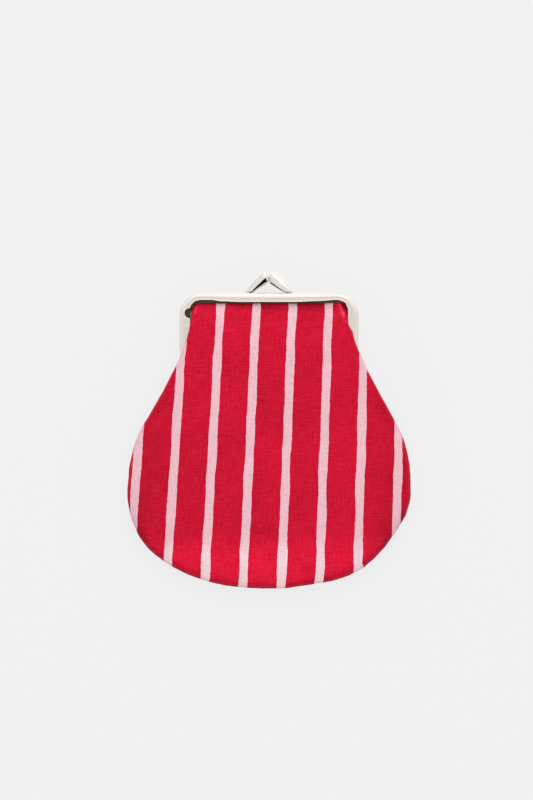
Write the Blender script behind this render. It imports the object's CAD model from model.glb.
"""The looks of a kiss-lock coin purse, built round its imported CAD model.

The purse lies closed on its back. X runs across it, Y from its round bottom up to the clasp, and Z up from
the floor. Heights called levels are measured from the plane where the two halves of the frame meet.
"""

import math
from contextlib import contextmanager

import bmesh
import bpy
from bpy.props import FloatProperty, FloatVectorProperty, IntProperty, PointerProperty
from mathutils import Matrix, Vector, noise


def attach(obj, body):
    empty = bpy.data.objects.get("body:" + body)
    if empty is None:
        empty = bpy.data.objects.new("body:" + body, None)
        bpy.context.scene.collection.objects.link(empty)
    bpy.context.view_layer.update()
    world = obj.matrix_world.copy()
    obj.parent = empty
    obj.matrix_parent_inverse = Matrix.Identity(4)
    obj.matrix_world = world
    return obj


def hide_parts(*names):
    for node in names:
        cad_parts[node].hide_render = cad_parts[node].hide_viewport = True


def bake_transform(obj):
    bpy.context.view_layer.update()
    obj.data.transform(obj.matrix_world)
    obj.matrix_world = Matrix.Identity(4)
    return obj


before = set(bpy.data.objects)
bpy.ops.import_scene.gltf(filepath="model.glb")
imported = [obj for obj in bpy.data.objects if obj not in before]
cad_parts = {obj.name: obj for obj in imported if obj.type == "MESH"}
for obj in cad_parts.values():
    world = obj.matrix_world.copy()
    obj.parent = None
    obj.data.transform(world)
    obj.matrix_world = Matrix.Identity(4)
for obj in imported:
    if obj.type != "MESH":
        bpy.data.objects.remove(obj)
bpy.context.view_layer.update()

bl_info = {
    "name": "Kiss-lock coin purse",
    "version": (1, 0, 0),
    "blender": (4, 5, 0),
    "location": "3D View > Sidebar > Purse",
    "description": "Builds a striped coin purse with a kiss-lock frame round its CAD model",
    "category": "Add Mesh",
}

MM = 0.001

# Frame halves
FRAME_WIDTH = 80.0 * MM
FRAME_CORNER_RADIUS = 10.0 * MM
LEG_FACE = 4.8 * MM
TOP_FACE = 3.9 * MM
MATING_STEP = 0.8 * MM
HALF_DEPTH = 4.4 * MM
SHEET = 0.6 * MM
FACE_BEND = 1.3 * MM
FACE_BEND_ACROSS = 2.5 * MM
FACE_BEAD = 0.09 * MM
MATING_BEND = 0.5 * MM
LIP_ROUND = 0.22 * MM
LIP_CHAMFER = 0.08 * MM
NOTCH_RADIUS = 2.15 * MM
CRIMP_DEPTH = 0.07 * MM
STATION_STEP = 1.0 * MM
CORNER_STEP = 0.35 * MM
NOTCH_STEP = 0.16 * MM

# Hinges
HINGE_DROP = 42.0 * MM
EAR_RADIUS = 3.0 * MM
EAR_NECK = 1.9 * MM
RIVET_RADIUS = 1.0 * MM
RIVET_PLAY = 0.1 * MM
RIVET_HEAD_RADIUS = 1.8 * MM
RIVET_HEAD_HEIGHT = 0.8 * MM
RIVET_TAIL_RADIUS = 1.6 * MM
RIVET_TAIL_HEIGHT = 0.6 * MM
RIVET_CORE = 0.5 * MM

# Clasp
CLASP_HEIGHT = 9.3 * MM
CLAW_REACH = 9.4 * MM
CLAW_FOOT_RADIUS = 1.3 * MM
CLAW_FOOT_HEIGHT = 0.7 * MM
STUD_LEVEL = (MATING_BEND + HALF_DEPTH - FACE_BEND) / 2
CLAW_WALL = 0.42 * MM
CLAW_BEVEL = 0.08 * MM
STUD_RADIUS = 0.7 * MM
STUD_HEAD_RADIUS = 0.9 * MM
STUD_HEAD_HEIGHT = 0.6 * MM
STUD_IN_CLAW = 0.3 * MM

# Cloth
CLOTH = 0.7 * MM
LINING = 0.5 * MM
CORD = 0.8 * MM
CORD_WIDTH = 2.2 * MM
GRIP = 2.1 * MM
LINING_GRIP = 1.8 * MM
FOLD_RADIUS = 0.65 * MM
LIP_TURN = 0.4 * MM
EDGE_RADIUS = 1.2 * MM
EDGE_INSET = EDGE_RADIUS + CLOTH / 2
EDGE_ROUNDING = 20.0 * MM
CROWN = 1.2 * MM
SEAM_ALLOWANCE = 1.5 * MM
STITCH_INSET = EDGE_INSET + 0.25 * MM
GRAIN_LEAN = 0.045
GATHER = 0.45

# What the cut cloth has beyond the outline of the bag, and the share of its area that the lining has
LINING_SHARE = 0.82

# Outline of the bag, measured down from the top of the frame
BAG_WIDTH = 126.2 * MM
BAG_DROP = 131.1 * MM
WIDEST_DROP = 87.6 * MM
SHOULDER_DROP = 60.9 * MM
SHOULDER_WIDTH = 115.2 * MM
CROSSING_DROP = 27.7 * MM
EAR_FOLD_DROP = 10.6 * MM
SEAM_START_WIDTH = 77.0 * MM
BOTTOM_POWER = 2.15
GAP = 0.3 * MM
OPEN_ANGLE = math.radians(95.0)

# Places worked out from the sizes
LEG_OUTSIDE = FRAME_WIDTH / 2
HALF_WIDTH = BAG_WIDTH / 2
FRAME_TOP = (CLASP_HEIGHT + BAG_DROP) / 2 - CLASP_HEIGHT
HINGE_Y = FRAME_TOP - HINGE_DROP
LEG_END = HINGE_Y + EAR_RADIUS + GAP
CORNER_X = LEG_OUTSIDE - FRAME_CORNER_RADIUS
CORNER_Y = FRAME_TOP - FRAME_CORNER_RADIUS
TOP_LIP = FRAME_TOP - TOP_FACE
LEG_LIP = LEG_OUTSIDE - LEG_FACE
BAG_BOTTOM = FRAME_TOP - BAG_DROP
WIDEST_Y = FRAME_TOP - WIDEST_DROP
BOTTOM_DEPTH = WIDEST_Y - BAG_BOTTOM
SHOULDER_Y = FRAME_TOP - SHOULDER_DROP
CROSSING_Y = FRAME_TOP - CROSSING_DROP
EAR_FOLD_Y = FRAME_TOP - EAR_FOLD_DROP
FOLD_OUT_Y = EAR_FOLD_Y - 4 * FOLD_RADIUS
SEAM_START_Y = HINGE_Y - EAR_RADIUS - GAP
SEAM_JOIN_Y = SHOULDER_Y + EAR_RADIUS
CHANNEL_LIP = TOP_LIP - GAP - CLOTH / 2
NOTCH_CENTRE = (-LEG_LIP - 0.05 * MM, CORNER_Y + 1.0 * MM)

# Levels above the plane where the halves meet
HALF_START = GAP / 2
LINING_LEVEL = HALF_START + SHEET + GAP + LINING / 2
CLOTH_LEVEL = LINING_LEVEL + LINING / 2 + GAP + CLOTH / 2
CORD_LEVEL = CLOTH_LEVEL + CLOTH / 2 + GAP + CORD / 2
FACE_LEVEL = HALF_START + HALF_DEPTH
UNDER_LEVEL = FACE_LEVEL + GAP + CLOTH / 2
PANEL_LEVEL = UNDER_LEVEL + 2 * FOLD_RADIUS
MID_LEVEL = PANEL_LEVEL + CLOTH / 2
SEAM_LEVEL = CLOTH / 2
LINING_SEAM_LEVEL = HALF_START + LINING / 2
LINING_STEP = CLOTH / 2 + 1.5 * GAP + LINING / 2
LINING_INSET = LINING_GRIP + GAP + FOLD_RADIUS + 2 * LIP_TURN + CLOTH + GAP + LINING / 2
POUCH_REACH = PANEL_LEVEL + CROWN + CLOTH / 2
POUCH_TOP = HINGE_Y - POUCH_REACH * math.tan(OPEN_ANGLE / 2) - 2 * GAP

# Where the folds that pull from the hinges start, and the radius that stands for the round bottom's edge
PULL_X = 37.0 * MM
PULL_Y = 27.0 * MM
ROUND_RADIUS = 58.0 * MM

# A claw's outline from foot to end, in millimetres: its upper edge across and up, its lower edge across and
# up, and whether its slot is open there
CLAW_OUTLINE = (
    (10.2, 0.4, 7.8, 0.1, 1), (10.9, 1.1, 6.7, 0.3, 1), (8.25, 4.85, 3.65, 2.0, 1), (4.35, 8.8, 1.2, 3.6, 1),
    (3.6, 9.35, 0.8, 3.85, 1), (2.85, 9.7, 0.5, 4.1, 1), (2.1, 9.85, 0.3, 4.35, 0), (1.4, 9.8, 0.18, 4.6, 0),
    (0.9, 9.6, 0.11, 4.95, 0), (0.55, 9.25, 0.08, 5.4, 0), (0.34, 8.7, 0.07, 5.9, 0),
    (0.24, 8.0, 0.1, 6.5, 0), (0.18, 7.2, 0.18, 7.2, 0),
)

# The slot of the rear claw and of the front one: the way it faces, and half the turn that it stands open at
# the foot and at the end, in degrees
CLAW_SLOTS = {-1: (-24.0, 6.0, 20.0), 1: (-60.0, 8.0, 10.0)}

# A claw's collar from below: height and radius, as shares of the foot's
COLLAR = (
    (0.02, 0.0), (0.02, 0.9), (0.05, 0.98), (0.14, 1.0), (0.28, 0.97), (0.36, 0.86), (0.42, 0.72),
    (0.55, 0.62), (0.75, 0.56), (1.0, 0.52), (1.35, 0.46), (1.5, 0.3), (1.55, 0.0),
)

# How much narrower or wider the hand-sewn bag is than its even outline, by height: left edge, right edge
EASE = (
    (47.0, 0.0, 0.3), (43.0, -0.1, 1.2), (37.0, -0.4, 0.9), (32.0, -1.1, 0.7), (27.0, -1.3, 0.1),
    (16.0, -1.5, 0.1), (10.0, -1.1, 0.4), (0.0, -0.4, 0.5), (-10.0, -0.7, 0.2), (-20.0, -0.4, 0.0),
    (-29.0, 0.0, -0.1), (-37.0, 0.1, -0.6), (-43.0, 0.3, -1.7), (-48.0, 1.1, -2.0), (-53.0, 1.4, -1.3),
    (-58.0, 1.5, 0.0), (-62.0, 1.1, 1.2), (-66.0, 1.3, 2.2), (-68.0, 1.2, 0.8), (-71.0, 0.9, 0.3),
)

# The width of the face in millimetres, by share of the way from the left leg's foot to the right's
FACE_WIDTHS = (
    (0.0, 5.1), (0.195, 5.1), (0.215, 4.6), (0.235, 3.9), (0.25, 3.5), (0.27, 3.2), (0.325, 3.2),
    (0.36, 3.8), (0.41, 4.1), (0.58, 4.1), (0.64, 3.75), (0.7, 3.2), (0.74, 3.25), (0.764, 4.1),
    (0.792, 4.9), (0.807, 5.1), (1.0, 5.1),
)

# How far the paper cords show past the lip, in millimetres by the same share
CORD_SHOWS = (
    (0.0, -0.3), (0.2, -0.25), (0.22, 0.35), (0.244, 0.95), (0.27, 1.25), (0.3, 1.5), (0.33, 1.35),
    (0.37, 0.8), (0.41, 0.62), (0.62, 0.65), (0.66, 1.15), (0.7, 1.15), (0.725, 0.8), (0.745, 0.35),
    (0.765, -0.3), (1.0, -0.3),
)
REAR_CORD_SHOWS = ((0.0, -0.3), (0.15, -0.3), (0.25, 0.5), (0.75, 0.5), (0.85, -0.3), (1.0, -0.3))

# How finely the pieces are made: points across a cloth, rows of cloth, points round a tube, and how near to
# each other points are welded
CLOTH_COLUMNS = 96
CLOTH_ROWS = (6, 11, 5, 23, 5, 7)
CLOTH_LOW_ROWS = 62
LINING_HALF_COLUMNS = 30
LINING_BORDER = 4
LINING_LOW_ROWS = 46
CLAW_AROUND = 44
COLLAR_AROUND = 32
RIVET_AROUND = 40
CLAW_WELD = 0.03 * MM
WELD = 0.004 * MM

# Edges that bend by more degrees than this are shaded sharp
CLOTH_SHARP = 75.0
FRAME_SHARP = 38.0
CLAW_SHARP = 50.0
RIVET_SHARP = 30.0
TRIM_SHARP = 60.0

# Stage. The camera looks straight down
CAMERA_AT = Vector((-1.11 * MM, 13.33 * MM, 1.51))
CAMERA_LENS = 151.9
CAMERA_SENSOR = 36.0
CAMERA_CLIP = (0.01, 20.0)
LAMP_AT = Vector((0.05, 0.9, 1.05))
LAMP_SIZE = (1.3, 0.9)
LAMP_POWER = 5.0
FLOOR_REACH = 3.0
FLOOR_LEVEL = -0.05 * MM


# Sums


def smooth(share):
    """A share from 0 to 1, eased at both ends."""
    share = min(max(share, 0.0), 1.0)
    return share * share * (3.0 - 2.0 * share)


def mix(low, high, share):
    return low + (high - low) * share


def between(start, end, share):
    """Mixes two rows of numbers."""
    return tuple(mix(low, high, share) for low, high in zip(start, end))


def span(low, high, value):
    """How far value lies from low to high, as a share."""
    return (value - low) / (high - low)


def ramp(low, high, value):
    """0 at low and 1 at high, eased at both ends."""
    return smooth(span(low, high, value))


def bell(distance, width):
    """1 at no distance, fading out beyond the width."""
    return math.exp(-((distance / width) ** 2))


def rough(x, y, z):
    return noise.noise(Vector((x, y, z)))


def steps(low, high, count):
    """Count values after low, the last of them high."""
    return [mix(low, high, (i + 1) / count) for i in range(count)]


def quarter(count):
    """The sine and cosine of even steps through a quarter turn, both its ends included."""
    turns = [math.pi / 2 * i / count for i in range(count + 1)]
    return [(math.sin(turn), math.cos(turn)) for turn in turns]


def looked_up(table, place, column=1):
    """A smooth value from rows of a table that is ordered by its first column."""
    rows = table if table[0][0] < table[-1][0] else table[::-1]
    if place <= rows[0][0]:
        return rows[0][column]
    for low, high in zip(rows, rows[1:]):
        if place <= high[0]:
            return mix(low[column], high[column], ramp(low[0], high[0], place))
    return rows[-1][column]


def hermite(low, high, low_slope, high_slope, length, share):
    """A curve through two values with the slope given at each end."""
    square, cube = share * share, share * share * share
    return (
        (2 * cube - 3 * square + 1) * low
        + (cube - 2 * square + share) * length * low_slope
        + (3 * square - 2 * cube) * high
        + (cube - square) * length * high_slope
    )


# Node trees


class Field:
    """A node's output. Sums and methods put further nodes after it."""

    def __init__(self, tree, socket):
        self.tree = tree
        self.socket = socket

    def math(self, operation, *others):
        return put(self.tree, "ShaderNodeMath", dict(enumerate((self, *others))), operation=operation)[0]

    def __add__(self, other):
        return self.math("ADD", other)

    def __sub__(self, other):
        return self.math("SUBTRACT", other)

    def __mul__(self, other):
        return self.math("MULTIPLY", other)

    def __truediv__(self, other):
        return self.math("DIVIDE", other)

    def parts(self):
        return put(self.tree, "ShaderNodeSeparateXYZ", {0: self})

    def stretched(self, *scale):
        return put(self.tree, "ShaderNodeVectorMath", {0: self, 1: scale}, operation="MULTIPLY")[0]

    def grain(self, scale, detail=2.0, roughness=0.5):
        inputs = {"Vector": self, "Scale": scale, "Detail": detail, "Roughness": roughness}
        return put(self.tree, "ShaderNodeTexNoise", inputs)["Fac"]

    def eased(self, low, high, start=0.0, end=1.0):
        inputs = {"Value": self, "From Min": low, "From Max": high, "To Min": start, "To Max": end}
        return put(self.tree, "ShaderNodeMapRange", inputs, interpolation_type="SMOOTHSTEP")[0]

    def blend(self, low, high):
        """A colour between two, by this share."""
        return put(self.tree, "ShaderNodeMix", {0: self, 6: low, 7: high}, data_type="RGBA")[2]

    def toned(self, depth):
        """This colour, darker or lighter by a factor."""
        grey = put(self.tree, "ShaderNodeCombineColor", {0: depth, 1: depth, 2: depth})[0]
        inputs = {0: 1.0, 6: self, 7: grey}
        return put(self.tree, "ShaderNodeMix", inputs, data_type="RGBA", blend_type="MULTIPLY")[2]

    def bumped(self, distance, strength=1.0, under=None):
        """The normal of a surface with this height, over another normal where one is given."""
        inputs = {"Height": self, "Distance": distance, "Strength": strength}
        if under:
            inputs["Normal"] = under
        return put(self.tree, "ShaderNodeBump", inputs)[0]


def fill(tree, node, inputs):
    """Sets a node's inputs, each to a plain value or a Field."""
    for name, value in inputs.items():
        if isinstance(value, Field):
            tree.links.new(value.socket, node.inputs[name])
        else:
            node.inputs[name].default_value = value


def put(tree, kind, inputs=None, **settings):
    """A new node's outputs as Fields, by number and by name."""
    node = tree.nodes.new(kind)
    for name, value in settings.items():
        setattr(node, name, value)
    fill(tree, node, inputs or {})
    return {key: Field(tree, output) for key, output in (*enumerate(node.outputs), *node.outputs.items())}


def new_tree(name, kind, inputs):
    """A node tree and its named inputs, each given as its kind or as the number that it starts from."""
    tree = bpy.data.node_groups.new(name, kind)
    for label, start in inputs.items():
        socket_kind = {float: "Float", int: "Int"}.get(type(start), start)
        socket = tree.interface.new_socket(label, in_out="INPUT", socket_type=f"NodeSocket{socket_kind}")
        if socket_kind != start:
            socket.default_value = start
    return tree, put(tree, "NodeGroupInput")


def end_tree(tree, results, kind="Float"):
    """Gives a tree its named outputs."""
    for label in results:
        tree.interface.new_socket(label, in_out="OUTPUT", socket_type=f"NodeSocket{kind}")
    fill(tree, tree.nodes.new("NodeGroupOutput"), results)
    return tree


# Effects that more than one finish uses


def use_group(tree, make, **inputs):
    """The outputs of a shader group, which is made the first time that it is used."""
    made = bpy.data.node_groups.get(make.__name__) or make(make.__name__)
    return put(tree, "ShaderNodeGroup", inputs, node_tree=made)


def plain_weave(name):
    """Threads along and across that pass over each other in turn."""
    tree, given = new_tree(name, "ShaderNodeTree", {"Place": "Vector", "Thread": "Float", "Slub": "Float"})
    place = given["Place"]
    parts = place.parts()
    across, along = parts[0] / given["Thread"], parts[1] / given["Thread"]
    warp, weft = ((value * math.pi).math("SINE").math("ABSOLUTE") for value in (across, along))
    cell = across.math("FLOOR") + along.math("FLOOR")
    over = ((cell * 0.5).math("FRACT") * 2.0).math("ROUND")
    raised = warp * over + weft * (over * -1.0 + 1.0)
    slubs = place.stretched(1500.0, 170.0, 1.0).grain(1.0) + place.stretched(170.0, 1500.0, 1.0).grain(1.0)
    slub = slubs * (given["Slub"] * 0.5)
    return end_tree(tree, {"Height": slub * 0.9 + raised, "Shade": raised * 0.35 + slub})


def printed_stripes(name):
    """Upright printed stripes whose two edges wander a little by themselves."""
    inputs = {"Place": "Vector", "Pitch": "Float", "Width": "Float", "Wander": "Float", "Softness": 0.07 * MM}
    tree, given = new_tree(name, "ShaderNodeTree", inputs)
    place = given["Place"].parts()
    number = (place[0] / given["Pitch"]).math("FLOOR")
    offset = place[0] - (number + 0.5) * given["Pitch"]
    rises = []
    for hand in (-1.0, 1.0):
        row = number * 7.31 + 3.7 * hand
        waves = [put(tree, "ShaderNodeCombineXYZ", {0: row, 1: place[1] * pace})[0] for pace in (62.0, 420.0)]
        wave = waves[0].grain(1.0, 1.0) + waves[1].grain(1.0, 1.0) * 0.3
        edge = given["Width"] * 0.5 * hand + (wave - 0.65) * given["Wander"] * 2.0
        rises.append(offset.eased(edge - given["Softness"], edge + given["Softness"]))
    return end_tree(tree, {"Mask": rises[0] - rises[1]})


def edge_wear(name):
    """A broken mask along edges that are marked by the Wear input."""
    tree, given = new_tree(name, "ShaderNodeTree", {"Place": "Vector", "Wear": "Float", "Scale": "Float"})
    broken = given["Place"].grain(given["Scale"], 3.0, 0.6) + 0.45
    return end_tree(tree, {"Mask": (given["Wear"] * broken).eased(0.35, 0.95)})


def handled_metal(name):
    """Marks of polishing and handling: fine hairlines, soft smudges and the sheet's slight waviness."""
    tree, given = new_tree(name, "ShaderNodeTree", {"Place": "Vector", "Along": "Vector", "Smudge": "Float"})
    smudge = given["Place"].grain(260.0, 3.0, 0.6)
    waves = given["Place"].grain(150.0, 1.0)
    hairs = given["Along"].stretched(120.0, 9000.0, 1.0).grain(1.0, 3.0, 0.7)
    results = {
        "Roughness": (smudge * 0.14 + hairs * 0.1) * given["Smudge"] + 0.06,
        "Height": waves * 2.0 + hairs * 0.02,
        "Tint": smudge * 0.6 + waves * 0.4,
    }
    return end_tree(tree, results)


# Finishes. Each gives what its shader's inputs are


def material(finish):
    """The material of a finish, made the first time that it is asked for."""
    made = bpy.data.materials.get(finish.__name__)
    if not made:
        made = bpy.data.materials.new(finish.__name__)
        made.use_nodes = True
        tree, scene = made.node_tree, bpy.context.scene
        fill(tree, tree.nodes["Principled BSDF"], finish(tree, scene.purse_colours, scene.purse_sizes))
    return made


def on_object(tree):
    return put(tree, "ShaderNodeTexCoord")["Object"]


def flat_map(tree):
    """The place on the cut cloth, or along and across a bent sheet, in metres."""
    return put(tree, "ShaderNodeUVMap", uv_map="flat")[0]


def mark(tree, name):
    return put(tree, "ShaderNodeAttribute", attribute_name=name)["Fac"]


def worn(place, scale):
    return use_group(place.tree, edge_wear, Place=place, Wear=mark(place.tree, "wear"), Scale=scale)["Mask"]


def faded(place):
    """How strong the dye is: paler in broad bands below the lip and above the bottom, deeper at the sides."""
    parts = place.parts()
    low = parts[1].eased(-44.0 * MM, -58.0 * MM)
    high = parts[1].eased(28.0 * MM, 48.0 * MM)
    side = parts[0].math("ABSOLUTE").eased(36.0 * MM, 56.0 * MM)
    uneven = (place.stretched(38.0, 30.0, 1.0).grain(1.0) - 0.5) * 0.27
    return low * 0.335 + (high * 0.095 + 0.93) + side * (low * 0.09 - 0.1) + uneven


def striped_cotton(tree, colours, sizes):
    """Printed cotton: a red ground with pink stripes, matt, with a fine plain weave."""
    place = flat_map(tree)
    stripes = {"Pitch": sizes.stripe_pitch, "Width": sizes.stripe_width, "Wander": sizes.stripe_wander}
    printed = use_group(tree, printed_stripes, Place=place, **stripes)["Mask"]
    weave = use_group(tree, plain_weave, Place=place, Thread=sizes.thread_pitch, Slub=1.0)
    mottle = place.grain(1950.0, 3.0, 0.7)
    red = place.grain(55.0, 3.0, 0.55).eased(0.2, 0.8).blend(colours.red_deep, colours.red_bright)
    fade = faded(place)
    pale = fade.eased(0.9, 1.3) * 0.75 - 0.4
    pink = (mottle * 1.2 + pale).blend(colours.pink_deep, colours.pink_bright)
    fleck = (mottle * 0.6 + weave["Shade"] * 0.5).eased(0.54, 0.78)
    soiled = mark(tree, "soil")
    paled = soiled.math("MINIMUM", 0.0) * -1.0
    linted = (fleck * sizes.lint + paled).blend(printed.blend(red, pink), colours.lint)
    red_depth = fade * (soiled * -0.55 + 1.0)
    depth = red_depth + printed * (soiled * -0.16 + 1.0 - red_depth)
    toned = linted.toned(depth * fleck.eased(0.0, 1.0, 0.86, 1.13))
    return {
        "Base Color": (worn(place, 1100.0) * 0.1).blend(toned, colours.lint),
        "Roughness": weave["Shade"].eased(0.2, 1.2, 0.95, 0.8),
        "Specular IOR Level": 0.05,
        "Sheen Weight": 0.02,
        "Sheen Roughness": 0.5,
        "Normal": weave["Height"].bumped(0.06 * MM, 0.7, mottle.bumped(0.05 * MM, 0.5)),
    }


def cotton_lining(tree, colours, sizes):
    """Unbleached cotton inside the purse."""
    place = flat_map(tree)
    weave = use_group(tree, plain_weave, Place=place, Thread=sizes.thread_pitch * 0.85, Slub=1.4)
    cloud = place.grain(90.0, 4.0, 0.6)
    seeds = place.grain(1300.0, 1.0).eased(0.71, 0.76)
    plain = cloud.blend(colours.lining_deep, colours.lining_bright)
    flecked = (seeds * 0.4).blend(plain, (0.3, 0.22, 0.13, 1.0))
    toned = flecked.toned(weave["Shade"].eased(0.3, 1.3, 0.9, 1.04))
    return {
        "Base Color": (worn(place, 700.0) * 0.35).blend(toned, (0.5, 0.44, 0.36, 1.0)),
        "Roughness": weave["Shade"].eased(0.2, 1.2, 0.95, 0.8),
        "Specular IOR Level": 0.2,
        "Sheen Weight": 0.05,
        "Normal": weave["Height"].bumped(0.05 * MM, 0.6, cloud.bumped(0.3 * MM, 0.5)),
    }


def plated_steel(tree, colour, warmer, smudge):
    """Plated sheet. The plating's tone shifts softly, and edges that rub are brighter and smoother."""
    place = on_object(tree)
    marks = use_group(tree, handled_metal, Place=place, Along=flat_map(tree), Smudge=smudge)
    rubbed = worn(place, 500.0)
    return {
        "Base Color": (rubbed * 0.5).blend(marks["Tint"].blend(colour, warmer), (0.93, 0.9, 0.86, 1.0)),
        "Metallic": 1.0,
        "Roughness": rubbed * -0.05 + marks["Roughness"],
        "Normal": marks["Height"].bumped(0.02 * MM, 0.6),
    }


def nickel_plate(tree, colours, sizes):
    return plated_steel(tree, colours.nickel, colours.nickel_warm, 0.8)


def claw_plate(tree, colours, sizes):
    return plated_steel(tree, colours.bright_nickel, colours.nickel, 0.5)


def satin_plate(tree, colours, sizes):
    return plated_steel(tree, colours.rivet, colours.nickel_warm, 2.2)


def bare_inside(tree, colours, sizes):
    """The unplated, darkened steel inside the claws."""
    stain = on_object(tree).grain(900.0, 3.0, 0.6)
    return {
        "Base Color": stain.blend(colours.inside, (0.12, 0.085, 0.06, 1.0)),
        "Metallic": 0.6,
        "Roughness": stain.eased(0.3, 0.7, 0.5, 0.75),
        "Normal": stain.bumped(0.02 * MM, 0.5),
    }


def rolled_paper(tree, colours, sizes):
    """Hard-rolled black paper cord: matt, fibrous, greyer where it rubs on the lip."""
    fibres = on_object(tree).stretched(700.0, 2400.0, 1500.0).grain(1.0, 4.0, 0.7)
    return {
        "Base Color": fibres.blend(colours.paper, (0.075, 0.062, 0.05, 1.0)),
        "Roughness": fibres.eased(0.3, 0.7, 0.62, 0.9),
        "Specular IOR Level": 0.3,
        "Normal": fibres.bumped(0.08 * MM, 0.7),
    }


def sewing_thread(tree, colours, sizes):
    """Spun thread with the twist of its strands."""
    place = on_object(tree)
    inputs = {"Vector": place, "Scale": 1400.0, "Distortion": 3.0, "Detail": 1.0}
    twist = put(tree, "ShaderNodeTexWave", inputs)["Fac"]
    fuzz = place.grain(4000.0)
    shade = fuzz.blend(colours.thread, (0.7, 0.06, 0.1, 1.0))
    return {
        "Base Color": (twist * 0.4).blend(shade, colours.thread),
        "Roughness": fuzz.eased(0.3, 0.7, 0.6, 0.8),
        "Sheen Weight": 0.1,
        "Normal": twist.bumped(0.04 * MM, 0.5),
    }


def pale_floor(tree, colours, sizes):
    """A plain floor that keeps the purse's shadow and looks pale to the camera and in the metal."""
    rays = put(tree, "ShaderNodeLightPath")
    level = rays["Is Glossy Ray"] * 0.15 + 0.907
    glow = put(tree, "ShaderNodeEmission", {"Color": (1.0, 1.0, 1.0, 1.0), "Strength": level})[0]
    share = rays["Is Camera Ray"].math("MAXIMUM", rays["Is Glossy Ray"]) * 0.87
    lit = Field(tree, tree.nodes["Principled BSDF"].outputs[0])
    both = put(tree, "ShaderNodeMixShader", {0: share, 1: lit, 2: glow})[0]
    fill(tree, tree.nodes["Material Output"], {"Surface": both})
    return {"Base Color": colours.floor, "Roughness": 0.9, "Specular IOR Level": 0.0}


# Meshes


def add_object(name, data):
    made = bpy.data.objects.new(name, data)
    bpy.context.scene.collection.objects.link(made)
    return made


def dressed(name, mesh, look, crease):
    """A new object of a mesh in one material, with edges past the crease angle kept sharp."""
    mesh.materials.clear()
    mesh.materials.append(look)
    mesh.shade_smooth()
    mesh.set_sharp_from_angle(angle=math.radians(crease))
    return add_object(name, mesh)


def add_mesh(name, points, faces, look, flat, marks, crease):
    """A new object from points and faces, with its flat map and named marks of wear and soil."""
    mesh = bpy.data.meshes.new(name)
    mesh.from_pydata(points, [], faces)
    mesh.validate()
    layer = mesh.uv_layers.new(name="flat")
    for loop in mesh.loops:
        layer.data[loop.index].uv = flat[loop.vertex_index]
    for label, values in marks.items():
        mesh.attributes.new(label, "FLOAT", "POINT").data.foreach_set("value", values)
    return dressed(name, mesh, look, crease)


@contextmanager
def editing(mesh):
    """A mesh opened for editing, and written back after it."""
    bm = bmesh.new()
    bm.from_mesh(mesh)
    yield bm
    bm.to_mesh(mesh)
    bm.free()


def out_facing(made):
    """Turns the faces of closed shells outwards."""
    with editing(made.data) as bm:
        bmesh.ops.recalc_face_normals(bm, faces=bm.faces)
    return made


def thicken(made, thickness, offset=0.0):
    """Gives a sheet its thickness, half to each side unless an offset moves it."""
    step = made.modifiers.new("thickness", "SOLIDIFY")
    step.thickness = thickness
    step.offset = offset
    step.use_even_offset = False
    step.use_quality_normals = True
    return step


def evaluated_mesh(made):
    """A plain mesh of an object with its modifiers worked in."""
    graph = bpy.context.evaluated_depsgraph_get()
    return bpy.data.meshes.new_from_object(made.evaluated_get(graph))


def grid_faces(rows):
    """Quads between rows of equally many point numbers."""
    faces = []
    for near, far in zip(rows, rows[1:]):
        faces += [(near[i], near[i + 1], far[i + 1], far[i]) for i in range(len(near) - 1)]
    return faces


def tube_faces(rings, around):
    """Quads round a tube of rings of equally many points, with the first and last ring as caps."""
    rows = [[ring * around + i % around for i in range(around + 1)] for ring in range(rings)]
    return grid_faces(rows) + [rows[0][:-1], rows[-1][-2::-1]]


# The outline of the cloth


def round_share(share):
    """How wide the round bottom still is at a share of its depth, or how deep at a share of its width."""
    return (1.0 - share**BOTTOM_POWER) ** (1.0 / BOTTOM_POWER)


def bottom_width(y, inset):
    return (HALF_WIDTH - inset) * round_share(min((WIDEST_Y - y) / (BOTTOM_DEPTH - inset), 1.0))


def bottom_height(x, inset):
    return WIDEST_Y - (BOTTOM_DEPTH - inset) * round_share(min(abs(x) / (HALF_WIDTH - inset), 1.0))


def silhouette(y):
    """Half the width of the closed bag at this height."""
    if y <= WIDEST_Y:
        return bottom_width(y, 0.0)
    edge = LEG_LIP - GAP
    slope = (SHOULDER_WIDTH / 2 - LEG_OUTSIDE) / (SHOULDER_Y - CROSSING_Y)
    if y < SHOULDER_Y:
        share = span(WIDEST_Y, SHOULDER_Y, y)
        return hermite(HALF_WIDTH, SHOULDER_WIDTH / 2, 0.0, slope, SHOULDER_Y - WIDEST_Y, share)
    if y < CROSSING_Y:
        return mix(SHOULDER_WIDTH / 2, LEG_OUTSIDE, span(SHOULDER_Y, CROSSING_Y, y))
    if y < FOLD_OUT_Y:
        share = span(CROSSING_Y, FOLD_OUT_Y, y)
        return hermite(LEG_OUTSIDE, edge, slope, slope / 3, FOLD_OUT_Y - CROSSING_Y, share)
    return edge


def gripped_width(y, grip):
    """Half the width of the cloth where its edge lies in the channel."""
    reach = LEG_LIP + grip - CORNER_X
    height = TOP_LIP + grip - CORNER_Y
    share = min(max(y - CORNER_Y, 0.0) / height, 1.0)
    return CORNER_X + reach * math.sqrt(1.0 - share * share)


def pouch_share(y):
    """0 where the cloth is in the frame, 1 where the seam has reached the edge of the bag."""
    return ramp(HINGE_Y, SEAM_JOIN_Y, y)


def seam_share(y):
    """0 above the hinge ears' lower edge, 1 where the two panels are sewn together."""
    return ramp(SEAM_START_Y, POUCH_TOP, y)


def sewn_share(y):
    """0 above the hinge ears' lower edge, 1 where the seam puckers and wanders in full."""
    return ramp(SEAM_START_Y, POUCH_TOP - 4.0 * MM, y)


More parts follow.
